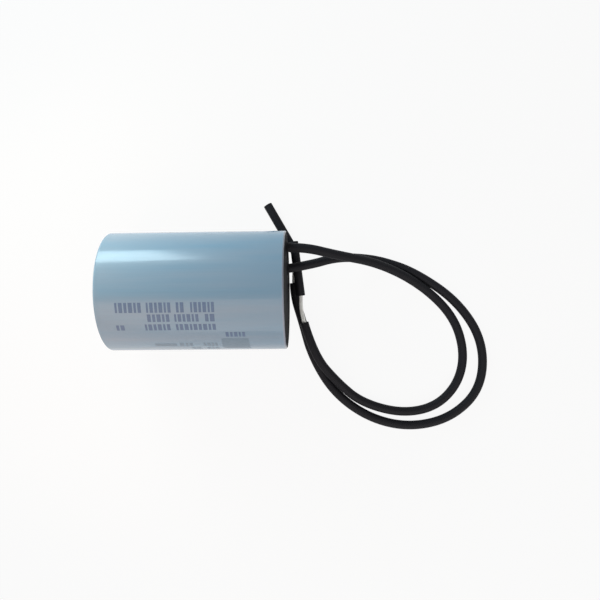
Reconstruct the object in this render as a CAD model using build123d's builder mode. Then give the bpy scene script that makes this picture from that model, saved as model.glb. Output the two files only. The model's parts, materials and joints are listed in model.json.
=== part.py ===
from build123d import *
import math
import os

# Motor run capacitor in a moulded round can, potted, with two insulated leads.
# Millimetres. The can lies on its side along X, mouth towards +X, and rests on z = 0.
# The origin is on the floor under the middle of the can.

# Can
CASE_OD = 35.0
CASE_LENGTH = 52.0
CASE_WALL = 1.5
CASE_FLOOR = 1.5
FLOOR_EDGE_RADIUS = 0.5
LIP_OUTER_RADIUS = 0.4
LIP_INNER_RADIUS = 0.4
LIP_FLAT = 0.1
FLOOR_CORNER_RADIUS = 0.8

# Potting resin
RESIN_RECESS = 0.2
RESIN_OVER_WINDING = 7.7
RESIN_UNDER_WINDING = 3.0
RESIN_SKIN = 1.4

# Capacitor element
WRAP_THICKNESS = 0.3
SPRAY_THICKNESS = 0.8
CORE_OD = 8.0
CORE_WALL = 1.5
SOLDER_RADIUS = 2.6
SOLDER_HEIGHT = 1.8

# Leads
LEAD_OD = 2.8
STRANDS_OD = 1.2
SLEEVE_LENGTH = 17.4
TAIL_WALL_GAP = 2.0
TAIL_WRAP_GAP = 0.2
TAIL_STRIP = 1.0
SOLDER_UNDER_STRANDS = 0.15
TAIL_BEND_RADIUS = 1.5
TAIL_FLAT_LENGTH = 6.0
OUTER_EXIT_INSET = 1.5
OUTER_EXIT_ANGLE = -39.5
STACK_GAP = 0.4
STRANDS_BEND_RADIUS = 2.4
OUTER_BARE_STRAIGHT = 3.0
INNER_BARE_STRAIGHT = 2.0

axis_z = CASE_OD / 2
mouth_x = CASE_LENGTH / 2
closed_x = -CASE_LENGTH / 2
bore_radius = CASE_OD / 2 - CASE_WALL
resin_x = mouth_x - RESIN_RECESS

# The lead to the far end spray runs down one side of the winding, so the winding sits off centre.
tail_y = bore_radius - TAIL_WALL_GAP - LEAD_OD / 2
wrap_top_y = tail_y - LEAD_OD / 2 - TAIL_WRAP_GAP
wrap_bottom_y = RESIN_SKIN - bore_radius
wrap_radius = (wrap_top_y - wrap_bottom_y) / 2
winding_y = (wrap_top_y + wrap_bottom_y) / 2
film_radius = wrap_radius - WRAP_THICKNESS

floor_x = closed_x + CASE_FLOOR
bottom_spray_x = floor_x + RESIN_UNDER_WINDING
mouth_spray_x = resin_x - RESIN_OVER_WINDING
film_start_x = bottom_spray_x + SPRAY_THICKNESS
film_end_x = mouth_spray_x - SPRAY_THICKNESS

# One lead leaves beside the winding, the other over the winding's mouth end, a little in from its edge.
inner_exit = (tail_y, axis_z)
outer_exit_radius = film_radius - OUTER_EXIT_INSET
outer_exit = (
    winding_y + outer_exit_radius * math.cos(math.radians(OUTER_EXIT_ANGLE)),
    axis_z + outer_exit_radius * math.sin(math.radians(OUTER_EXIT_ANGLE)),
)

low = LEAD_OD / 2
stacked = low + LEAD_OD + STACK_GAP
halfway = (low + stacked) / 2


def across(x, y=0.0, z=axis_z):
    """A plane square to the can at x, seen from its mouth, with its own x along Y."""
    return Plane(origin=(x, y, z), x_dir=(0, 1, 0), z_dir=(1, 0, 0))


def tube(x_from, x_to, outer_radius, inner_radius, y):
    """A round tube or disc along the can, from one x to another."""
    with BuildPart() as piece:
        with BuildSketch(across(x_from, y)):
            Circle(outer_radius)
            if inner_radius > 0:
                Circle(inner_radius, mode=Mode.SUBTRACT)
        extrude(amount=x_to - x_from)
    return piece


def rod(route, radius, bends):
    """A round rod along straight runs joined by tangent arcs."""
    with BuildPart() as piece:
        with BuildLine():
            path = FilletPolyline(*route, radius=bends)
        with BuildSketch(Plane(origin=path @ 0, z_dir=path % 0)):
            Circle(radius)
        sweep()
    return piece


def lead_bends(route):
    """Each arc takes 0.45 of the shorter run beside its point."""
    bends = []
    for before, point, after in zip(route, route[1:], route[2:]):
        run_in = Vector(*point) - Vector(*before)
        run_out = Vector(*after) - Vector(*point)
        half_turn = math.radians(run_in.get_angle(run_out)) / 2
        bends.append(0.45 * min(run_in.length, run_out.length) / math.tan(half_turn))
    return bends


def lead(name, route):
    """An insulated lead outside the can, its copper and its cover as one solid."""
    bends = lead_bends(route)
    print(name, "bend radii", [round(bend, 1) for bend in bends])
    return rod(route, LEAD_OD / 2, bends)


def straight_on(route, distance):
    """The point that lies past a route's end, in line with its last run."""
    last_run = (Vector(*route[-1]) - Vector(*route[-2])).normalized()
    return Vector(*route[-1]) + last_run * distance


def sleeve(bend_point, tip):
    """The cut piece of insulation that is left on the end of the stripped strands."""
    run = (Vector(*tip) - Vector(*bend_point)).normalized()
    start = Vector(*tip) - run * SLEEVE_LENGTH
    with BuildPart() as piece:
        with BuildSketch(Plane(origin=start, z_dir=run)):
            Circle(LEAD_OD / 2)
            Circle(STRANDS_OD / 2, mode=Mode.SUBTRACT)
        extrude(amount=SLEEVE_LENGTH)
    return piece


def tail_strands(exit_yz, strip_x, spray_x, side):
    """Bare strands inside the can: square to the end spray, then flat along it to the joint.
    side is +1 where the strands come down on the mouth spray, -1 where they turn under the far one."""
    y, z = exit_yz
    inwards = Vector(0, winding_y - y, axis_z - z).normalized()
    flat_x = spray_x + side * (SOLDER_UNDER_STRANDS + STRANDS_OD / 2)
    corner = Vector(flat_x, y, z)
    route = [Vector(strip_x, y, z), corner, corner + inwards * TAIL_FLAT_LENGTH]
    return rod(route, STRANDS_OD / 2, [TAIL_BEND_RADIUS])


def solder(exit_yz, spray_x, side, strands):
    """A low dome of solder on the end spray, round the end of the strands."""
    y, z = exit_yz
    inwards = Vector(0, winding_y - y, axis_z - z).normalized()
    centre = Vector(spray_x, y, z) + inwards * (TAIL_FLAT_LENGTH - SOLDER_RADIUS / 2)
    dome_radius = (SOLDER_RADIUS**2 + SOLDER_HEIGHT**2) / (2 * SOLDER_HEIGHT)
    with BuildPart() as piece:
        with BuildSketch(Plane(origin=centre, x_dir=(0, 1, 0), z_dir=(0, 0, -side))):
            with BuildLine():
                Polyline((0, SOLDER_HEIGHT), (0, 0), (SOLDER_RADIUS, 0))
                RadiusArc((SOLDER_RADIUS, 0), (0, SOLDER_HEIGHT), -dome_radius)
            make_face()
        revolve(axis=Axis(centre, (1, 0, 0)))
        add(strands.part, mode=Mode.SUBTRACT)
    return piece


# The can is one moulding: a straight wall, a rounded closed end and a softened lip.
with BuildPart() as case:
    with BuildSketch(across(closed_x)):
        Circle(CASE_OD / 2)
    extrude(amount=CASE_LENGTH)
    with BuildSketch(across(floor_x)):
        Circle(bore_radius)
    extrude(amount=mouth_x - floor_x, mode=Mode.SUBTRACT)
    rims = case.edges().filter_by(GeomType.CIRCLE)
    lip_inner, lip_outer = rims.filter_by_position(Axis.X, mouth_x - 0.01, mouth_x + 0.01).sort_by(SortBy.RADIUS)
    floor_corner = rims.filter_by_position(Axis.X, floor_x - 0.01, floor_x + 0.01)
    closed_edge = rims.filter_by_position(Axis.X, closed_x - 0.01, closed_x + 0.01)
    fillet(closed_edge, FLOOR_EDGE_RADIUS)
    fillet(floor_corner, FLOOR_CORNER_RADIUS)
    fillet(lip_outer, LIP_OUTER_RADIUS)
    fillet(lip_inner, min(LIP_INNER_RADIUS, CASE_WALL - LIP_OUTER_RADIUS - LIP_FLAT))

# The capacitor element: film wound on a plastic core, metal sprayed on both ends, taped round.
winding_core = tube(bottom_spray_x, mouth_spray_x, CORE_OD / 2, CORE_OD / 2 - CORE_WALL, winding_y)
film_winding = tube(film_start_x, film_end_x, film_radius, CORE_OD / 2, winding_y)
bottom_end_spray = tube(bottom_spray_x, film_start_x, film_radius, CORE_OD / 2, winding_y)
mouth_end_spray = tube(film_end_x, mouth_spray_x, film_radius, CORE_OD / 2, winding_y)
outer_wrap = tube(bottom_spray_x, mouth_spray_x, wrap_radius, film_radius, winding_y)

# Inside the can each lead keeps its cover up to a short stripped end, soldered to its end spray.
bottom_flat_x = bottom_spray_x - SOLDER_UNDER_STRANDS - STRANDS_OD / 2
mouth_flat_x = mouth_spray_x + SOLDER_UNDER_STRANDS + STRANDS_OD / 2
inner_strip_x = bottom_flat_x + TAIL_BEND_RADIUS + TAIL_STRIP / 2
outer_strip_x = mouth_flat_x + TAIL_BEND_RADIUS + TAIL_STRIP

with BuildPart() as inner_lead_tail:
    with BuildSketch(across(inner_strip_x, *inner_exit)):
        Circle(LEAD_OD / 2)
    extrude(amount=resin_x - inner_strip_x)
with BuildPart() as outer_lead_tail:
    with BuildSketch(across(outer_strip_x, *outer_exit)):
        Circle(LEAD_OD / 2)
    extrude(amount=resin_x - outer_strip_x)
inner_tail_strands = tail_strands(inner_exit, inner_strip_x, bottom_spray_x, -1)
outer_tail_strands = tail_strands(outer_exit, outer_strip_x, mouth_spray_x, 1)
bottom_solder = solder(inner_exit, bottom_spray_x, -1, inner_tail_strands)
mouth_solder = solder(outer_exit, mouth_spray_x, 1, outer_tail_strands)

# The resin fills what is left of the can, the bore of the core too.
with BuildPart() as resin_fill:
    with BuildSketch(across(floor_x)):
        Circle(bore_radius)
    extrude(amount=resin_x - floor_x)
    fillet(resin_fill.edges().filter_by(GeomType.CIRCLE).sort_by(Axis.X)[0], FLOOR_CORNER_RADIUS)
    for buried in (winding_core, film_winding, bottom_end_spray, mouth_end_spray, outer_wrap,
                   inner_lead_tail, outer_lead_tail, inner_tail_strands, outer_tail_strands,
                   bottom_solder, mouth_solder):
        add(buried.part, mode=Mode.SUBTRACT)

# The leads as they lie: out of the resin, down to the floor, round in one loop and back.
# The inner one crosses over the outer one and ends on top of it.
outer_route = [
    (resin_x, *outer_exit),
    (mouth_x + 6.5, *outer_exit),
    (mouth_x + 13.0, 9.1, 9.4),
    (mouth_x + 20.0, 10.9, 5.2),
    (mouth_x + 29.5, 10.0, low),
    (mouth_x + 40.5, 5.5, low),
    (mouth_x + 54.0, -4.0, low),
    (mouth_x + 62.0, -17.0, low),
    (mouth_x + 61.2, -31.8, low),
    (mouth_x + 51.7, -41.2, low),
    (mouth_x + 38.5, -44.3, low),
    (mouth_x + 25.5, -41.4, low),
    (mouth_x + 14.0, -33.4, low),
    (mouth_x + 7.0, -21.2, low),
    (mouth_x + 4.2, -9.2, low),
    (mouth_x + 1.8, 2.2, low),
]
inner_route = [
    (resin_x, *inner_exit),
    (mouth_x + 5.5, *inner_exit),
    (mouth_x + 14.5, 10.8, 14.8),
    (mouth_x + 28.5, 8.2, 6.6),
    (mouth_x + 42.0, 1.6, low + 0.4),
    (mouth_x + 52.5, -8.5, low),
    (mouth_x + 56.0, -20.2, low),
    (mouth_x + 53.8, -30.4, low),
    (mouth_x + 46.5, -37.8, low),
    (mouth_x + 35.5, -39.8, low),
    (mouth_x + 23.0, -36.0, low),
    (mouth_x + 15.4, -29.6, halfway),
    (mouth_x + 8.0, -20.8, stacked),
    (mouth_x + 5.1, -10.2, stacked),
]
outer_lead = lead("outer_lead", outer_route)
inner_lead = lead("inner_lead", inner_route)

# Past each cover's end the strands lie bare, then run through the cut piece to the tip.
outer_bare = [
    outer_route[-1],
    straight_on(outer_route, OUTER_BARE_STRAIGHT),
    (mouth_x + 2.5, 11.5, low),
    (mouth_x - 6.8, 27.9, low),
]
inner_bare = [
    inner_route[-1],
    straight_on(inner_route, INNER_BARE_STRAIGHT),
    (mouth_x + 1.5, 15.8, stacked),
]
outer_lead_strands = rod(outer_bare, STRANDS_OD / 2, [STRANDS_BEND_RADIUS] * 2)
inner_lead_strands = rod(inner_bare, STRANDS_OD / 2, [STRANDS_BEND_RADIUS])
outer_lead_sleeve = sleeve(outer_bare[-2], outer_bare[-1])
inner_lead_sleeve = sleeve(inner_bare[-2], inner_bare[-1])

pieces = {
    "case": case,
    "resin_fill": resin_fill,
    "film_winding": film_winding,
    "winding_core": winding_core,
    "outer_wrap": outer_wrap,
    "bottom_end_spray": bottom_end_spray,
    "mouth_end_spray": mouth_end_spray,
    "bottom_solder": bottom_solder,
    "mouth_solder": mouth_solder,
    "inner_lead_tail": inner_lead_tail,
    "outer_lead_tail": outer_lead_tail,
    "inner_tail_strands": inner_tail_strands,
    "outer_tail_strands": outer_tail_strands,
    "inner_lead": inner_lead,
    "outer_lead": outer_lead,
    "inner_lead_strands": inner_lead_strands,
    "outer_lead_strands": outer_lead_strands,
    "inner_lead_sleeve": inner_lead_sleeve,
    "outer_lead_sleeve": outer_lead_sleeve,
}

os.makedirs("parts", exist_ok=True)
for name, piece in pieces.items():
    piece.part.label = name
    export_step(piece.part, f"parts/{name}.step")
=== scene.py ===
import json
import math

import bmesh
import bpy
from bpy.props import FloatProperty, FloatVectorProperty, IntProperty, PointerProperty
from mathutils import Matrix, Vector


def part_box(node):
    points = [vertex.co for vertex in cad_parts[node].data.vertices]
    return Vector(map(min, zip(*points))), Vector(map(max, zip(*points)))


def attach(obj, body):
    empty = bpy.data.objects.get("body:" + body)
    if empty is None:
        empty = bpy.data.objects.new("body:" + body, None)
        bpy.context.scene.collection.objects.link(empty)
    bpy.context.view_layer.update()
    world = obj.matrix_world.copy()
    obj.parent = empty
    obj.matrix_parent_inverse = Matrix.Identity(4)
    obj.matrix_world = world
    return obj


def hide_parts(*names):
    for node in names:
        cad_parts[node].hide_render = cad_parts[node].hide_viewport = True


bl_info = {
    "name": "Motor Run Capacitor",
    "version": (1, 0, 0),
    "blender": (4, 5, 0),
    "location": "View3D > Sidebar > Capacitor",
    "description": "Dresses a motor run capacitor: leads, print, finishes and stage",
    "category": "Object",
}

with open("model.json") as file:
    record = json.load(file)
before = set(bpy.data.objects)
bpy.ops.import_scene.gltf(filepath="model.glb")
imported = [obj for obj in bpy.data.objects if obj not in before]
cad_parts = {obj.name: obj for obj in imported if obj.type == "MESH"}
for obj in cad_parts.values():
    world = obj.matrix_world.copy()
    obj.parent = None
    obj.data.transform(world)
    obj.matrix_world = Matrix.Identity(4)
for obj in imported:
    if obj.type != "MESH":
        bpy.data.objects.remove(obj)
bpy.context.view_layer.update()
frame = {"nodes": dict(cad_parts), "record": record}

MM = 0.001

# The can lies along X with its mouth towards +X. Its places are read from the frame.
clamp_band = next(
    mount for mount in frame["record"]["mounts"] if mount["name"] == "clamp_band"
)
can_radius = clamp_band["dims"]["r_mm"] * MM
can_axis_z = clamp_band["pos_m"][2]
closed_x, mouth_x = (corner.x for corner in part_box("case"))
resin_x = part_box("resin_fill")[1].x
resin_radius = (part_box("resin_fill")[1].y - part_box("resin_fill")[0].y) / 2


def srgb(code):
    """A colour written as sRGB hex, as the linear triple that shaders take."""
    channels = [int(code[place : place + 2], 16) / 255 for place in (1, 3, 5)]
    return tuple(
        c / 12.92 if c <= 0.04045 else ((c + 0.055) / 1.055) ** 2.4 for c in channels
    )


class CanSettings(bpy.types.PropertyGroup):
    """The moulded can."""

    colour: FloatVectorProperty(
        name="Can colour",
        description="Colour of the moulded plastic",
        subtype="COLOR",
        min=0,
        max=1,
        default=srgb("#809CB3"),
    )
    # The lip's paler colour is a painted highlight, where the rounded edge of the mouth
    # catches the light.
    lip_highlight_colour: FloatVectorProperty(
        name="Lip colour",
        description="Colour of the lip, where the moulding is polished paler",
        subtype="COLOR",
        min=0,
        max=1,
        default=srgb("#98A1B2"),
    )
    # How far back from the mouth the painted highlight on the lip reaches.
    lip_highlight_width: FloatProperty(
        name="Lip width",
        description="How far the paler lip reaches back from the mouth",
        unit="LENGTH",
        default=0.6 * MM,
    )


class ResinSettings(bpy.types.PropertyGroup):
    """The potting resin at the mouth."""

    colour: FloatVectorProperty(
        name="Resin colour",
        description="Colour of the cast epoxy",
        subtype="COLOR",
        min=0,
        max=1,
        default=srgb("#111114"),
    )
    # A thin layer of the black resin is laid over the lip's flat face, so that face
    # shows dark.
    lip_film: FloatProperty(
        name="Film on the lip",
        description="How thickly the resin wets the flat face of the lip",
        unit="LENGTH",
        default=0.03 * MM,
    )
    lip_bare: FloatProperty(
        name="Bare edge of the lip",
        description="How much of the wall's outer edge the film leaves bare",
        unit="LENGTH",
        default=0.4 * MM,
    )
    lead_climb: FloatProperty(
        name="Climb at a lead",
        description="How high the resin creeps up a lead",
        unit="LENGTH",
        default=0.6 * MM,
    )
    climb_width: FloatProperty(
        name="Width of the climb",
        description="How far from the wall or the lead the resin starts to rise",
        unit="LENGTH",
        default=1.3 * MM,
    )


class PrintSettings(bpy.types.PropertyGroup):
    """The printed marks on the can."""

    colour: FloatVectorProperty(
        name="Ink colour",
        description="Colour of the rows of small blocks",
        subtype="COLOR",
        min=0,
        max=1,
        default=srgb("#586F8E"),
    )
    field_colour: FloatVectorProperty(
        name="Field colour",
        description="Colour of the pale printed field and of the faint row",
        subtype="COLOR",
        min=0,
        max=1,
        default=srgb("#6F8699"),
    )
    block_pitch: FloatProperty(
        name="Block pitch",
        description="Distance from one small block to the next",
        unit="LENGTH",
        default=1.25 * MM,
    )
    block_gap: FloatProperty(
        name="Block gap",
        description="Bare plastic between two small blocks",
        unit="LENGTH",
        default=0.4 * MM,
    )
    ink_height: FloatProperty(
        name="Ink height",
        description="How far the ink stands proud of the plastic",
        unit="LENGTH",
        default=0.02 * MM,
    )


class LeadSettings(bpy.types.PropertyGroup):
    """The two insulated leads."""

    diameter: FloatProperty(
        name="Lead diameter",
        description="Diameter over the insulation",
        unit="LENGTH",
        default=2.8 * MM,
    )
    stack_gap: FloatProperty(
        name="Gap in the stack",
        description="Clearance where one lead lies on the other",
        unit="LENGTH",
        default=0.4 * MM,
    )
    cover_colour: FloatVectorProperty(
        name="Cover colour",
        description="Colour of the extruded cover",
        subtype="COLOR",
        min=0,
        max=1,
        default=srgb("#17171B"),
    )
    outer_length: FloatProperty(
        name="Outer lead length",
        description="Length of the outer lead's cover outside the can",
        unit="LENGTH",
        default=180 * MM,
    )
    inner_length: FloatProperty(
        name="Inner lead length",
        description="Length of the inner lead's cover outside the can",
        unit="LENGTH",
        default=150 * MM,
    )
    sleeve_length: FloatProperty(
        name="Sleeve length",
        description="Length of the cut piece of cover left on each tip",
        unit="LENGTH",
        default=17.4 * MM,
    )
    cut_length: FloatProperty(
        name="Cut end length",
        description="Length of the modelled cut end of each cover",
        unit="LENGTH",
        default=0.8 * MM,
    )
    cut_edge: FloatProperty(
        name="Cut edge",
        description="Softening of a cut edge of the cover",
        unit="LENGTH",
        default=0.15 * MM,
    )
    strand_diameter: FloatProperty(
        name="Strand diameter",
        description="Diameter of one tinned strand",
        unit="LENGTH",
        default=0.24 * MM,
    )
    strand_lay: FloatProperty(
        name="Strand lay",
        description="Length along the lead in which a strand turns once round it",
        unit="LENGTH",
        default=14 * MM,
    )
    strand_rings: IntProperty(
        name="Strand rings",
        description="Rings of strands round the middle one, six more in each",
        default=2,
        min=1,
        max=3,
    )


class StageSettings(bpy.types.PropertyGroup):
    """The floor, the light and the camera."""

    floor_size: FloatProperty(
        name="Floor size",
        description="Width and depth of the floor",
        unit="LENGTH",
        default=6.0,
    )
    floor_colour: FloatVectorProperty(
        name="Floor colour",
        description="Colour of the plain floor",
        subtype="COLOR",
        min=0,
        max=1,
        default=srgb("#D4D4D2"),
    )
    sky_light: FloatProperty(
        name="Sky light",
        description="Strength of the even light from all round",
        default=0.06,
    )
    window_power: FloatProperty(
        name="Window power",
        description="Power of the low window that draws the long highlight",
        unit="POWER",
        default=0.84,
    )
    panel_power: FloatProperty(
        name="Panel power",
        description="Power of the tall soft panel on the print's side",
        unit="POWER",
        default=1.2,
    )
    front_power: FloatProperty(
        name="Front lamp power",
        description="Power of the small warm lamp by the closed end, on the print side",
        unit="POWER",
        default=0.025,
    )
    back_power: FloatProperty(
        name="Back lamp power",
        description="Power of the small lamp by the closed end, on the window side",
        unit="POWER",
        default=0.036,
    )
    camera_place: FloatVectorProperty(
        name="Camera place",
        description="Where the camera stands",
        subtype="TRANSLATION",
        default=(35.453 * MM, -3.5 * MM, 198.486 * MM),
    )
    camera_turn: FloatVectorProperty(
        name="Camera turn",
        description="How the camera is turned from looking straight down",
        subtype="EULER",
        default=(0.0022, 0.0309, -0.0108),
    )
    camera_lens: FloatProperty(
        name="Camera lens",
        description="Focal length in millimetres on a 36 mm sensor",
        default=36.59,
    )


# Shared by the materials


def add_node(tree, kind, inputs=None, **settings):
    """Adds a shader node. inputs gives a socket a value or the output that feeds it."""
    node = tree.nodes.new(kind)
    for name, value in settings.items():
        setattr(node, name, value)
    for socket, value in (inputs or {}).items():
        if isinstance(value, bpy.types.NodeSocket):
            tree.links.new(value, node.inputs[socket])
        else:
            node.inputs[socket].default_value = value
    return node


def new_material(name):
    """A node material, its tree, and the place on the object in metres."""
    material = bpy.data.materials.new(name)
    material.use_nodes = True
    tree = material.node_tree
    tree.nodes.clear()
    place = add_node(tree, "ShaderNodeTexCoord").outputs["Object"]
    return material, tree, place


MIX_FACTOR, MIX_A, MIX_B, MIX_RESULT = 0, 6, 7, 2


def add_colour_mix(tree, factor, first, second):
    """Blends two linear colours, each a triple or an output socket."""
    sockets = {MIX_FACTOR: factor}
    for place, colour in ((MIX_A, first), (MIX_B, second)):
        linked = isinstance(colour, bpy.types.NodeSocket)
        sockets[place] = colour if linked else (*colour, 1)
    mix = add_node(tree, "ShaderNodeMix", sockets, data_type="RGBA")
    return mix.outputs[MIX_RESULT]


def shade(colour, amount):
    """A linear colour made lighter or darker by a factor."""
    return tuple(min(1, channel * amount) for channel in colour)


def add_uneven_tint(tree, factor, colour, darkest, lightest):
    """A linear colour that varies between two shades of itself."""
    return add_colour_mix(tree, factor, shade(colour, darkest), shade(colour, lightest))


def add_noise(tree, place, size, detail, roughness=0.5):
    """Noise from 0 to 1, with patches of a real size."""
    sockets = {
        "Vector": place,
        "Scale": 1 / size,
        "Detail": detail,
        "Roughness": roughness,
    }
    return add_node(tree, "ShaderNodeTexNoise", sockets).outputs["Fac"]


def add_range(tree, value, spread=(0, 1), target=(0, 1), **settings):
    """Maps a value from one range to another."""
    sockets = {"Value": value}
    sockets["From Min"], sockets["From Max"] = spread
    sockets["To Min"], sockets["To Max"] = target
    return add_node(tree, "ShaderNodeMapRange", sockets, **settings).outputs["Result"]


def add_streaks(tree, place, length, width, shift=0):
    """Streaks along X of a real length and width, from 0 to 1 across them.
    shift moves them sideways by that many widths."""
    drawn = add_node(
        tree,
        "ShaderNodeMapping",
        {
            "Vector": place,
            "Scale": (1 / length, 1 / width, 1 / width),
            "Location": (0, shift, 0),
        },
    )
    noise = add_noise(tree, drawn.outputs["Vector"], size=1, detail=3)
    return add_range(tree, noise, spread=(0.33, 0.67))


def add_bump(tree, height, strength, distance, under=None):
    """Relief of a real depth in metres, on top of another relief where one is given."""
    sockets = {"Height": height, "Strength": strength, "Distance": distance}
    if under is not None:
        sockets["Normal"] = under
    return add_node(tree, "ShaderNodeBump", sockets).outputs["Normal"]


def add_math(tree, operation, first, second):
    """Works out one value from two."""
    node = add_node(tree, "ShaderNodeMath", {0: first, 1: second}, operation=operation)
    return node.outputs["Value"]


def finish_material(material, surface):
    """Links the last shader to the output."""
    add_node(material.node_tree, "ShaderNodeOutputMaterial", {"Surface": surface})
    return material


def finish_principled(material, sockets):
    """Ends a material in one Principled surface."""
    surface = add_node(material.node_tree, "ShaderNodeBsdfPrincipled", sockets)
    return finish_material(material, surface.outputs["BSDF"])


# The flow bands in the can's wall, as shares of its colour.
TEAL_SHARES = (0.88, 0.98, 1.01)
GREY_SHARES = (1.12, 1.02, 0.99)


def moulded_gloss_plastic(can):
    """Injection moulded plastic off a polished tool. Fine draw marks along the can
    feather its sharp gloss, flow bands shift the wall's tint, and a painted highlight
    makes the lip paler, where its rounded edge catches the light."""
    material, tree, place = new_material("moulded_gloss_plastic")
    teal, grey = (
        tuple(channel * share for channel, share in zip(can.colour, shares))
        for shares in (TEAL_SHARES, GREY_SHARES)
    )
    flow = add_streaks(tree, place, length=60 * MM, width=6 * MM, shift=1.7)
    banded = add_colour_mix(tree, flow, teal, grey)
    along = add_node(tree, "ShaderNodeSeparateXYZ", {"Vector": place}).outputs["X"]
    # The bands stay off the closed end.
    wall = add_range(tree, along, spread=(closed_x + 0.2 * MM, closed_x + 2 * MM))
    body = add_colour_mix(tree, wall, tuple(can.colour), banded)
    # Painted highlight: the lip turns paler towards the mouth, as if its rounded edge
    # catches the light.
    lip = add_range(
        tree,
        along,
        spread=(mouth_x - can.lip_highlight_width, mouth_x - can.lip_highlight_width / 2),
        interpolation_type="SMOOTHSTEP",
    )
    draw_marks = add_streaks(tree, place, length=40 * MM, width=0.9 * MM)
    drawn = add_bump(tree, draw_marks, strength=0.8, distance=0.015 * MM)
    peel = add_noise(tree, place, size=1.6 * MM, detail=2)
    relief = add_bump(tree, peel, strength=0.12, distance=0.02 * MM, under=drawn)
    handling = add_noise(tree, place, size=6 * MM, detail=5, roughness=0.65)
    return finish_principled(
        material,
        {
            "Base Color": add_colour_mix(tree, lip, body, tuple(can.lip_highlight_colour)),
            "Roughness": add_range(tree, handling, target=(0.14, 0.22)),
            "IOR": 1.49,
            "Normal": relief,
        },
    )


def cast_epoxy(resin):
    """Black filled epoxy poured and set: satin, with the slow waves of a surface that
    levelled by itself and a fine grain from the filler."""
    material, tree, place = new_material("cast_epoxy")
    waves = add_noise(tree, place, size=5 * MM, detail=1)
    level = add_bump(tree, waves, strength=0.5, distance=0.15 * MM)
    grain = add_noise(tree, place, size=0.3 * MM, detail=3)
    relief = add_bump(tree, grain, strength=0.25, distance=0.02 * MM, under=level)
    return finish_principled(
        material,
        {
            "Base Color": add_uneven_tint(tree, waves, resin.colour, 0.75, 1.25),
            "Roughness": 0.75,
            "IOR": 1.55,
            "Specular IOR Level": 0.08,
            "Normal": relief,
        },
    )


def pad_printed_ink(name, colour):
    """Pad printing ink: matt, and thinner in places, so the tint is a little uneven."""
    material, tree, place = new_material(name)
    wear = add_noise(tree, place, size=0.7 * MM, detail=3, roughness=0.6)
    tint = add_uneven_tint(tree, wear, colour, 0.86, 1.16)
    return finish_principled(
        material, {"Base Color": tint, "Roughness": 0.42, "IOR": 1.5}
    )


def extruded_pvc(lead):
    """Black PVC cover, extruded: satin, with a fine die grain and dusty patches that
    dull it."""
    material, tree, place = new_material("extruded_pvc")
    dust = add_noise(tree, place, size=4 * MM, detail=4, roughness=0.6)
    grain = add_noise(tree, place, size=0.35 * MM, detail=2)
    return finish_principled(
        material,
        {
            "Base Color": add_uneven_tint(tree, dust, lead.cover_colour, 0.8, 1.3),
            "Roughness": add_range(tree, dust, target=(0.5, 0.66)),
            "IOR": 1.52,
            "Specular IOR Level": 0.12,
            "Normal": add_bump(tree, grain, strength=0.3, distance=0.02 * MM),
        },
    )


def tinned_copper():
    """Hot tinned copper strands: grey metal, dulled in patches by handling."""
    material, tree, place = new_material("tinned_copper")
    bloom = add_noise(tree, place, size=1.2 * MM, detail=3)
    return finish_principled(
        material,
        {
            "Base Color": add_colour_mix(tree, bloom, srgb("#B9B9B6"), srgb("#E4E4E0")),
            "Metallic": 1.0,
            "Roughness": add_range(tree, bloom, target=(0.28, 0.48)),
        },
    )


# A Wave Texture of scale 1 runs through this many radians a metre.
WAVE_TURNS = 20


def wound_film(winding_axis):
    """Metallised film wound in a roll: silvery, with the edges of its turns as fine
    rings on its ends. The real film is about 0.01 mm thick, so the rings are drawn
    further apart to show."""
    ring_pitch = 0.25 * MM
    material, tree, place = new_material("wound_film")
    centred = add_node(
        tree, "ShaderNodeMapping", {"Vector": place, "Location": -winding_axis}
    )
    turns = add_node(
        tree,
        "ShaderNodeTexWave",
        {
            "Vector": centred.outputs["Vector"],
            "Scale": math.tau / (WAVE_TURNS * ring_pitch),
            "Distortion": 0.3,
        },
        wave_type="RINGS",
        rings_direction="X",
    ).outputs["Fac"]
    colour = add_colour_mix(tree, turns, srgb("#8C9094"), srgb("#B4B8BC"))
    return finish_principled(
        material, {"Base Color": colour, "Metallic": 0.6, "Roughness": 0.32}
    )


def grained(name, colour, grain_size, grain_depth, **constants):
    """A plain material with an even grain: sprayed metal, solder, tape or a moulded
    core. grain_size and grain_depth are the real grain in metres."""
    material, tree, place = new_material(name)
    grain = add_noise(tree, place, grain_size, detail=4, roughness=0.6)
    return finish_principled(
        material,
        {
            "Base Color": add_uneven_tint(tree, grain, colour, 0.8, 1.2),
            "Normal": add_bump(tree, grain, strength=0.6, distance=grain_depth),
            **constants,
        },
    )


# Shared by the pieces

# Points nearer to each other than this are one point.
WELD = 0.001 * MM


def settle(piece, material, slot, *nodes):
    """Gives a new piece its finish and its body, and hides the nodes that it stands
    for. The slot it is given is not used."""
    piece.data.materials.append(material)
    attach(piece, "root")
    if nodes:
        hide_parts(*nodes)
    return piece


def dress(node, material):
    """Gives a node of the frame its finish."""
    piece = frame["nodes"][node]
    piece.data.materials.clear()
    piece.data.materials.append(material)


def mesh_piece(name, mesh, smooth=True):
    """Turns a finished bmesh into a piece."""
    bmesh.ops.remove_doubles(mesh, verts=mesh.verts[:], dist=WELD)
    bmesh.ops.recalc_face_normals(mesh, faces=mesh.faces[:])
    for face in mesh.faces:
        face.smooth = smooth
    data = bpy.data.meshes.new(name)
    mesh.to_mesh(data)
    mesh.free()
    piece = bpy.data.objects.new(name, data)
    bpy.context.collection.objects.link(piece)
    return piece


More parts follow.
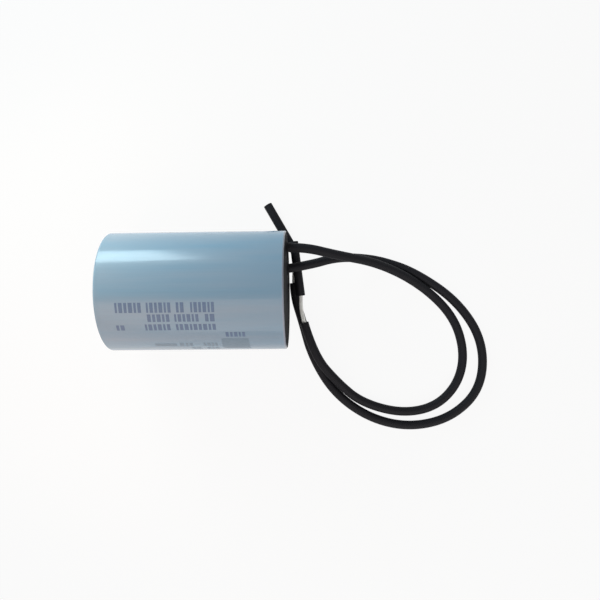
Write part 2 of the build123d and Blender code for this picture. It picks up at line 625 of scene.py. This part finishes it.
def spin_profile(profile, steps):
    """Spins a closed profile of (distance along the axis, radius) points round Z."""
    mesh = bmesh.new()
    points = [mesh.verts.new((radius, 0, along)) for along, radius in profile]
    edges = [mesh.edges.new(pair) for pair in zip(points, points[1:] + points[:1])]
    bmesh.ops.spin(
        mesh,
        geom=points + edges,
        axis=(0, 0, 1),
        cent=(0, 0, 0),
        angle=math.tau,
        steps=steps,
        use_merge=True,
    )
    return mesh


def aim(start, direction):
    """The transform that takes Z to a direction and the origin to a point."""
    turn = direction.to_track_quat("Z", "Y")
    return Matrix.Translation(start) @ turn.to_matrix().to_4x4()


def route_curve(name, points):
    """An open smooth line with a route's points as its control points."""
    curve = bpy.data.curves.new(name, "CURVE")
    curve.dimensions = "3D"
    curve.resolution_u = 24
    line = curve.splines.new("NURBS")
    line.points.add(len(points) - 1)
    for control, point in zip(line.points, points):
        control.co = (*point, 1)
    line.order_u = 3
    line.use_endpoint_u = True
    piece = bpy.data.objects.new(name, curve)
    bpy.context.collection.objects.link(piece)
    return piece


def line_through(points):
    """Close points along the smooth line of a route."""
    guide = route_curve("guide", points)
    bpy.context.view_layer.update()
    shaped = guide.evaluated_get(bpy.context.evaluated_depsgraph_get())
    drawn = bpy.data.meshes.new_from_object(shaped)
    line = [vertex.co.copy() for vertex in drawn.vertices]
    bpy.data.meshes.remove(drawn)
    bpy.data.curves.remove(guide.data)
    return line


# The leads as they lie


def at(x, y, z):
    """A point given in millimetres, with x counted from the mouth of the can."""
    return Vector((mouth_x + x * MM, y * MM, z * MM))


def exit_of(tail):
    """Where a buried lead comes out of the resin: the middle of its end face."""
    low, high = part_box(tail)
    return Vector((high.x, (low.y + high.y) / 2, (low.z + high.z) / 2))


def lying_heights(lead):
    """How high a lead's middle lies in millimetres: on the floor, and on a lead."""
    low = lead.diameter / 2 / MM
    return low, low + (lead.diameter + lead.stack_gap) / MM


def outer_route(lead):
    """Out of the resin, down to the floor, round in a loop and back past the mouth."""
    low, _ = lying_heights(lead)
    start = exit_of("outer_lead_tail")
    return [
        start,
        at(7.0, 7.8, start.z / MM),
        at(14.5, 10.0, 8.2),
        at(22.0, 10.3, 3.8),
        at(30.0, 9.3, low),
        at(40.5, 5.5, low),
        at(54.0, -4.0, low),
        at(62.0, -17.0, low),
        at(61.2, -31.8, low),
        at(51.7, -41.2, low),
        at(38.5, -44.3, low),
        at(25.5, -41.4, low),
        at(14.1, -33.2, low),
        at(7.0, -21.2, low),
        at(4.05, -9.8, low),
        at(1.7, -2.2, low),
        at(1.5, 2.5, low),
    ]


def inner_route(lead):
    """Out beside the wall, across the outer lead, round inside it and back onto it."""
    low, stacked = lying_heights(lead)
    start = exit_of("inner_lead_tail")
    return [
        start,
        at(5.5, start.y / MM, start.z / MM),
        at(14.5, 10.5, 14.8),
        at(28.5, 8.3, 6.6),
        at(42.15, 1.6, low + 0.6),
        at(52.5, -8.5, low),
        at(56.0, -20.2, low),
        at(53.8, -30.4, low),
        at(46.5, -37.8, low),
        at(35.5, -39.8, low),
        at(22.85, -36.25, low),
        at(15.2, -29.6, (low + stacked) / 2),
        at(7.8, -20.8, stacked),
        at(4.7, -10.2, stacked),
    ]


def straight_on(route, distance):
    """The point that lies past a route's end, in line with its last run."""
    return route[-1] + (route[-1] - route[-2]).normalized() * distance


def bare_route(route, bends, tip, lead):
    """The bare strands' line: from the cover's end round the bends, then straight
    through the cut piece of cover."""
    sleeve_start = tip + (bends[-1] - tip).normalized() * lead.sleeve_length
    return [route[-1], *bends, sleeve_start, tip]


def cut_cover(name, start, end, lead):
    """A short tube of cover with softened cut edges, open round the strands."""
    bore = lead.strand_diameter * (lead.strand_rings + 0.5)
    length = (end - start).length
    outer = lead.diameter / 2
    profile = [(0, outer), (length, outer), (length, bore), (0, bore)]
    mesh = spin_profile(profile, steps=40)
    slack = 0.05 * MM
    cut_edges = [
        edge
        for edge in mesh.edges
        if abs(edge.verts[0].co.z - edge.verts[1].co.z) < slack
        and min(vert.co.xy.length for vert in edge.verts) > outer - slack
    ]
    bmesh.ops.bevel(
        mesh,
        geom=cut_edges,
        offset=lead.cut_edge,
        segments=3,
        profile=0.5,
        affect="EDGES",
        material=-1,
    )
    mesh.transform(aim(start, end - start))
    return mesh_piece(name, mesh)


def strand_bundle(name, route, lead):
    """Tinned strands twisted round each other along the bare line."""
    line = line_through(route)
    curve = bpy.data.curves.new(name, "CURVE")
    curve.dimensions = "3D"
    curve.bevel_depth = lead.strand_diameter / 2
    curve.bevel_resolution = 2
    curve.use_fill_caps = True
    travelled = [0.0]
    for before, after in zip(line, line[1:]):
        travelled.append(travelled[-1] + (after - before).length)
    tangents = [(after - before).normalized() for before, after in zip(line, line[1:])]
    tangents.append(tangents[-1])
    sides = [tangents[0].orthogonal().normalized()]
    for before, after in zip(tangents, tangents[1:]):
        sides.append((before.rotation_difference(after) @ sides[-1]).normalized())
    for ring in range(lead.strand_rings + 1):
        count = max(1, 6 * ring)
        for strand in range(count):
            twisted = curve.splines.new("POLY")
            twisted.points.add(len(line) - 1)
            twisted.use_smooth = True
            for control, point, tangent, side, distance in zip(
                twisted.points, line, tangents, sides, travelled
            ):
                turn = math.tau * (strand / count + distance / lead.strand_lay)
                across = math.cos(turn) * side + math.sin(turn) * tangent.cross(side)
                control.co = (*(point + across * ring * lead.strand_diameter), 1)
    piece = bpy.data.objects.new(name, curve)
    bpy.context.collection.objects.link(piece)
    return piece


class CAPACITOR_OT_leads(bpy.types.Operator):
    """Makes the two leads, with their cut ends, bare strands and cut pieces of cover"""

    bl_idname = "capacitor.leads"
    bl_label = "Leads"

    def execute(self, context):
        lead = context.scene.capacitor_lead
        pvc = extruded_pvc(lead)
        tinned = tinned_copper()
        low, stacked = lying_heights(lead)
        outer, inner = outer_route(lead), inner_route(lead)
        # The outer strands go straight on for this far before they bend.
        straight_run = 3 * MM
        outer_bends = [straight_on(outer, straight_run), at(2.5, 11.5, low)]
        outer_bare = bare_route(outer, outer_bends, at(-6.8, 27.9, low), lead)
        inner_bends = [
            at(4.3, -8.3, stacked),
            at(3.75, -5.4, stacked),
            at(3.78, -2.05, stacked),
        ]
        inner_bare = bare_route(inner, inner_bends, at(1.65, 15.6, stacked), lead)
        for name, route, bare, length in (
            ("outer_lead", outer, outer_bare, lead.outer_length),
            ("inner_lead", inner, inner_bare, lead.inner_length),
        ):
            cut_start = straight_on(route, -lead.cut_length)
            # The cord ends inside its cut end, so no seam opens between them.
            cord_end = straight_on(route, -lead.cut_length / 2)
            cord = route_curve(f"{name}_cover", [*route[:-1], cord_end])
            cord.data.bevel_depth = lead.diameter / 2
            cord.data.bevel_resolution = 8
            cord.data.use_fill_caps = True
            settle(cord, pvc, "lead_insulation", name)
            cut_end = settle(
                cut_cover(f"{name}_cut_end", cut_start, route[-1], lead),
                pvc,
                "lead_insulation",
            )
            strands = settle(
                strand_bundle(f"{name}_bare_strands", bare, lead),
                tinned,
                "tinned_strands",
                f"{name}_strands",
            )
            sleeve = settle(
                cut_cover(f"{name}_end_sleeve", bare[-2], bare[-1], lead),
                pvc,
                "lead_insulation",
                f"{name}_sleeve",
            )
        for tail in ("outer_lead_tail", "inner_lead_tail"):
            dress(tail, pvc)
        for tail in ("outer_tail_strands", "inner_tail_strands"):
            dress(tail, tinned)
        return {"FINISHED"}


class CAPACITOR_OT_can(bpy.types.Operator):
    """Gives the moulded can its glossy plastic and a painted highlight on its lip"""

    bl_idname = "capacitor.can"
    bl_label = "Can"

    def execute(self, context):
        dress("case", moulded_gloss_plastic(context.scene.capacitor_can))
        return {"FINISHED"}


# How deep the edges of the resin's rims go into what they stand on.
BURIED = 0.05 * MM


def climb_slope(radius, width, height):
    """How resin rises as it wets an edge at a radius: hollow in section, and lower
    further off. A negative width lies inside the radius."""
    steps = 8
    return [
        (height * (1 - step / steps) ** 2, radius + width * step / steps)
        for step in range(steps + 1)
    ]


def resin_ring(name, centre, profile):
    """A ring of resin round a line along X, from a closed profile of (distance, radius)
    points."""
    mesh = spin_profile(profile, steps=96)
    mesh.transform(aim(centre, Vector((1, 0, 0))))
    return mesh_piece(name, mesh)


def lip_film_profile(resin):
    """The resin at the wall in section: up from the fill, and out over the lip's flat
    face."""
    face = mouth_x - resin_x
    edge = can_radius - resin.lip_bare
    rise = climb_slope(resin_radius, -resin.climb_width, face + resin.lip_film)
    return [
        # These points lay the black resin thinly over the lip's flat face, so that face
        # shows dark.
        (face - BURIED, edge),
        (face, edge),
        (face + resin.lip_film, edge - resin.lip_film),
        *rise,
        (-BURIED, rise[-1][1]),
        (-BURIED, resin_radius),
    ]


class CAPACITOR_OT_resin(bpy.types.Operator):
    """Gives the potting resin its finish, and its rims at the wall and the leads"""

    bl_idname = "capacitor.resin"
    bl_label = "Potting resin"

    def execute(self, context):
        resin, lead = context.scene.capacitor_resin, context.scene.capacitor_lead
        epoxy = cast_epoxy(resin)
        dress("resin_fill", epoxy)
        mouth_middle = Vector((resin_x, 0, can_axis_z))
        wall = resin_ring("resin_wall_rim", mouth_middle, lip_film_profile(resin))
        settle(wall, epoxy, "potting_resin")
        for name in ("outer_lead", "inner_lead"):
            rise = climb_slope(lead.diameter / 2, resin.climb_width, resin.lead_climb)
            collar = resin_ring(
                f"resin_collar_{name}",
                exit_of(f"{name}_tail"),
                [(-BURIED, lead.diameter / 2), *rise, (-BURIED, rise[-1][1])],
            )
            settle(collar, epoxy, "potting_resin")
        return {"FINISHED"}


# Rows of small printed blocks, in millimetres. Each row gives its middle round the can
# from the top towards the leads' loop, the height of its blocks, and where each group
# of blocks starts and ends back from the mouth.
BLOCK_ROWS = (
    (4.8, 2.9, ((18.9, 25.8), (27.2, 29.7), (30.8, 37.9), (38.9, 46.5))),
    (7.9, 2.3, ((19.0, 22.0), (23.4, 30.4), (31.4, 37.9))),
    (10.9, 2.1, ((18.9, 30.3), (31.5, 38.9))),
    (11.0, 1.8, ((44.2, 46.9),)),
    (13.8, 1.9, ((11.1, 16.9),)),
)
FAINT_ROWS = (
    (18.9, 2.2, ((19.4, 23.8), (26.5, 30.6))),
    (22.0, 1.6, ((19.5, 23.2), (24.6, 27.6))),
)

# How wide the blocks of a group are in turn, as shares of the pitch.
BLOCK_RHYTHM = (1.0, 0.8, 1.14, 0.92, 1.08, 0.76, 1.12)

# The pale field, with one corner cut off, and a dash, in millimetres: back from the
# mouth, and round from the top.
FIELD_OUTLINE = ((10.3, 15.5), (17.9, 15.5), (18.2, 20.3), (17.5, 22.1), (10.3, 22.1))
DASH_OUTLINE = ((31.1, 18.1), (37.3, 18.1), (37.3, 19.8), (31.1, 19.8))


def blocks_in(rows, pitch, gap):
    """The outline of each block, in metres, as corners of (back from the mouth, round
    from the top)."""
    for middle, height, groups in rows:
        low, high = (middle - height / 2) * MM, (middle + height / 2) * MM
        for start, end in groups:
            count = max(1, round((end - start) * MM / pitch))
            widths = [BLOCK_RHYTHM[turn % len(BLOCK_RHYTHM)] for turn in range(count)]
            near = start * MM
            for width in widths:
                far = near + (end - start) * MM * width / sum(widths)
                yield ((near, low), (far - gap, low), (far - gap, high), (near, high))
                near = far


def ink_film(name, outlines, ink_height):
    """Flat outlines laid on the can and bent round it, as one film of ink with closed
    edges."""
    mesh = bmesh.new()
    for outline in outlines:
        mesh.faces.new(
            [mesh.verts.new((mouth_x - back, -around, 0)) for back, around in outline]
        )
    # Cuts along the can let the film follow its curve.
    reach = [vert.co.y for vert in mesh.verts]
    strip = 0.6 * MM
    for cut in range(int(min(reach) / strip) - 1, int(max(reach) / strip) + 2):
        bmesh.ops.bisect_plane(
            mesh,
            geom=mesh.verts[:] + mesh.edges[:] + mesh.faces[:],
            dist=WELD,
            plane_co=(0, cut * strip, 0),
            plane_no=(0, 1, 0),
        )
    film = bmesh.ops.extrude_face_region(mesh, geom=mesh.faces[:])
    for part in film["geom"]:
        if isinstance(part, bmesh.types.BMVert):
            part.co.z = ink_height
    for vert in mesh.verts:
        # The lower face sinks into the plastic, so no gap shows under the film.
        radius = can_radius + (vert.co.z if vert.co.z > 0 else -ink_height)
        turn = vert.co.y / can_radius
        vert.co.y = radius * math.sin(turn)
        vert.co.z = can_axis_z + radius * math.cos(turn)
    return mesh_piece(name, mesh, smooth=False)


class CAPACITOR_OT_print(bpy.types.Operator):
    """Prints the rows of small blocks and the pale field on the can"""

    bl_idname = "capacitor.print"
    bl_label = "Print"

    def execute(self, context):
        ink = context.scene.capacitor_print
        dark = pad_printed_ink("pad_printed_ink", tuple(ink.colour))
        pale = pad_printed_ink("pad_printed_pale_ink", tuple(ink.field_colour))
        plain_shapes = [
            [(back * MM, around * MM) for back, around in outline]
            for outline in (FIELD_OUTLINE, DASH_OUTLINE)
        ]
        blocks, faint_blocks = (
            blocks_in(rows, ink.block_pitch, ink.block_gap)
            for rows in (BLOCK_ROWS, FAINT_ROWS)
        )
        for name, outlines, finish in (
            ("printed_blocks", blocks, dark),
            ("printed_faint_blocks", faint_blocks, pale),
            ("printed_field", plain_shapes, pale),
        ):
            settle(ink_film(name, outlines, ink.ink_height), finish, "case_plastic")
        return {"FINISHED"}


class CAPACITOR_OT_element(bpy.types.Operator):
    """Gives the buried capacitor element its finishes"""

    bl_idname = "capacitor.element"
    bl_label = "Buried element"

    def execute(self, context):
        low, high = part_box("film_winding")
        dress("film_winding", wound_film((low + high) / 2))
        core = grained(
            "moulded_polypropylene",
            srgb("#E4E2DA"),
            grain_size=2 * MM,
            grain_depth=0.01 * MM,
            Roughness=0.5,
        )
        dress("winding_core", core)
        tape = grained(
            "clear_polyester_tape",
            srgb("#D8D2B4"),
            grain_size=5 * MM,
            grain_depth=0.02 * MM,
            Roughness=0.2,
        )
        dress("outer_wrap", tape)
        zinc = grained(
            "arc_sprayed_zinc",
            srgb("#9A9C9E"),
            grain_size=0.25 * MM,
            grain_depth=0.08 * MM,
            Metallic=0.9,
            Roughness=0.7,
        )
        solder = grained(
            "soft_solder",
            srgb("#B9BABA"),
            grain_size=1.5 * MM,
            grain_depth=0.03 * MM,
            Metallic=1.0,
            Roughness=0.32,
        )
        for end in ("bottom", "mouth"):
            dress(f"{end}_end_spray", zinc)
            dress(f"{end}_solder", solder)
        return {"FINISHED"}


def seen_directly(tree):
    """1 for what the camera sees, straight or in a gloss or through glass, else 0."""
    rays = add_node(tree, "ShaderNodeLightPath").outputs
    straight = add_math(tree, "MAXIMUM", rays["Is Camera Ray"], rays["Is Glossy Ray"])
    return add_math(tree, "MAXIMUM", straight, rays["Is Transmission Ray"])


def plain_floor(stage):
    """Matt white card that keeps the shadow, and is seen a little whiter than the light
    makes it."""
    material, tree, place = new_material("plain_floor")
    card = add_node(tree, "ShaderNodeBsdfDiffuse", {"Color": (*stage.floor_colour, 1)})
    white = add_node(tree, "ShaderNodeEmission", {"Color": (1, 1, 1, 1), "Strength": 1})
    # It whitens further from the object, over a stretch given in metres.
    distance = add_node(tree, "ShaderNodeVectorMath", {0: place}, operation="LENGTH")
    whiteness = add_range(
        tree,
        distance.outputs["Value"],
        spread=(0.12, 0.8),
        target=(0.92, 1.0),
        interpolation_type="SMOOTHSTEP",
    )
    share = add_math(tree, "MULTIPLY", seen_directly(tree), whiteness)
    surface = add_node(
        tree,
        "ShaderNodeMixShader",
        {0: share, 1: card.outputs["BSDF"], 2: white.outputs["Emission"]},
    )
    return finish_material(material, surface.outputs["Shader"])


# Where each lamp stands and the width and height of its face, in metres, and its tint.
LOW_WINDOW = ((-0.16, 0.25, 0.13), (0.20, 0.13), "#D8F5FF")
TALL_PANEL = ((0.08, -0.26, 0.26), (0.50, 0.50), "#FFF9F5")
FRONT_LAMP = ((-0.055, -0.05, 0.06), (0.06, 0.04), "#FFC5A2")
BACK_LAMP = ((-0.055, 0.05, 0.06), (0.06, 0.04), "#FFF2D5")


def soft_lamp(name, place, face, tint, target, power):
    """A soft rectangular lamp that faces a point and is itself out of sight."""
    light = bpy.data.lights.new(name, "AREA")
    light.shape = "RECTANGLE"
    light.size, light.size_y = face
    light.color = srgb(tint)
    light.energy = power
    lamp = bpy.data.objects.new(name, light)
    lamp.location = place
    towards = Vector(target) - Vector(place)
    lamp.rotation_euler = towards.to_track_quat("-Z", "Y").to_euler()
    lamp.visible_camera = False
    bpy.context.collection.objects.link(lamp)
    return lamp


class CAPACITOR_OT_stage(bpy.types.Operator):
    """Sets the floor, the light and the camera"""

    bl_idname = "capacitor.stage"
    bl_label = "Stage"

    def execute(self, context):
        stage = context.scene.capacitor_stage
        mesh = bmesh.new()
        half = stage.floor_size / 2
        bmesh.ops.create_grid(mesh, x_segments=1, y_segments=1, size=half)
        floor = mesh_piece("floor", mesh, smooth=False)
        floor.data.materials.append(plain_floor(stage))

        world = bpy.data.worlds.new("even_sky")
        world.use_nodes = True
        tree = world.node_tree
        tree.nodes.clear()
        strength = add_range(tree, seen_directly(tree), target=(stage.sky_light, 1.0))
        sky = add_node(
            tree,
            "ShaderNodeBackground",
            {"Color": (1, 1, 1, 1), "Strength": strength},
        )
        add_node(tree, "ShaderNodeOutputWorld", {"Surface": sky.outputs["Background"]})
        context.scene.world = world

        can_middle = (0, 0, can_axis_z)
        soft_lamp("low_window", *LOW_WINDOW, can_middle, stage.window_power)
        soft_lamp("tall_panel", *TALL_PANEL, can_middle, stage.panel_power)
        closed_part = (-20 * MM, 0, can_axis_z)
        for name, lamp, power in (
            ("front_lamp", FRONT_LAMP, stage.front_power),
            ("back_lamp", BACK_LAMP, stage.back_power),
        ):
            # These stand close, so they are kept out of the gloss.
            soft_lamp(name, *lamp, closed_part, power).visible_glossy = False

        camera = bpy.data.cameras.new("photo_camera")
        camera.lens = stage.camera_lens
        camera.sensor_width = 36
        camera.clip_start = 0.01
        viewpoint = bpy.data.objects.new("photo_camera", camera)
        viewpoint.location = stage.camera_place
        viewpoint.rotation_euler = stage.camera_turn
        context.collection.objects.link(viewpoint)
        context.scene.camera = viewpoint
        context.scene.view_settings.view_transform = "Standard"
        return {"FINISHED"}


class CAPACITOR_PT_sidebar(bpy.types.Panel):
    """Lists the capacitor's pieces and their settings"""

    bl_label = "Motor Run Capacitor"
    bl_idname = "CAPACITOR_PT_sidebar"
    bl_space_type = "VIEW_3D"
    bl_region_type = "UI"
    bl_category = "Capacitor"

    def draw(self, context):
        for settings, operator in STEPS:
            box = self.layout.box()
            if settings:
                group = getattr(context.scene, settings)
                for name in group.bl_rna.properties.keys():
                    if name not in ("rna_type", "name"):
                        box.prop(group, name)
            box.operator(operator)


# Each step of the build: the settings that it reads, and its operator.
STEPS = (
    ("capacitor_lead", "capacitor.leads"),
    ("capacitor_can", "capacitor.can"),
    ("capacitor_resin", "capacitor.resin"),
    ("capacitor_print", "capacitor.print"),
    (None, "capacitor.element"),
    ("capacitor_stage", "capacitor.stage"),
)

SETTINGS = {
    "capacitor_lead": LeadSettings,
    "capacitor_can": CanSettings,
    "capacitor_resin": ResinSettings,
    "capacitor_print": PrintSettings,
    "capacitor_stage": StageSettings,
}

CLASSES = (
    *SETTINGS.values(),
    CAPACITOR_OT_leads,
    CAPACITOR_OT_can,
    CAPACITOR_OT_resin,
    CAPACITOR_OT_print,
    CAPACITOR_OT_element,
    CAPACITOR_OT_stage,
    CAPACITOR_PT_sidebar,
)


def register():
    for item in CLASSES:
        bpy.utils.register_class(item)
    for name, group in SETTINGS.items():
        setattr(bpy.types.Scene, name, PointerProperty(type=group))


def unregister():
    for name in SETTINGS:
        delattr(bpy.types.Scene, name)
    for item in reversed(CLASSES):
        bpy.utils.unregister_class(item)


def main():
    """Builds every piece and the stage."""
    register()
    bpy.ops.capacitor.leads()
    bpy.ops.capacitor.can()
    bpy.ops.capacitor.resin()
    bpy.ops.capacitor.print()
    bpy.ops.capacitor.element()
    bpy.ops.capacitor.stage()


if __name__ == "__main__":
    main()
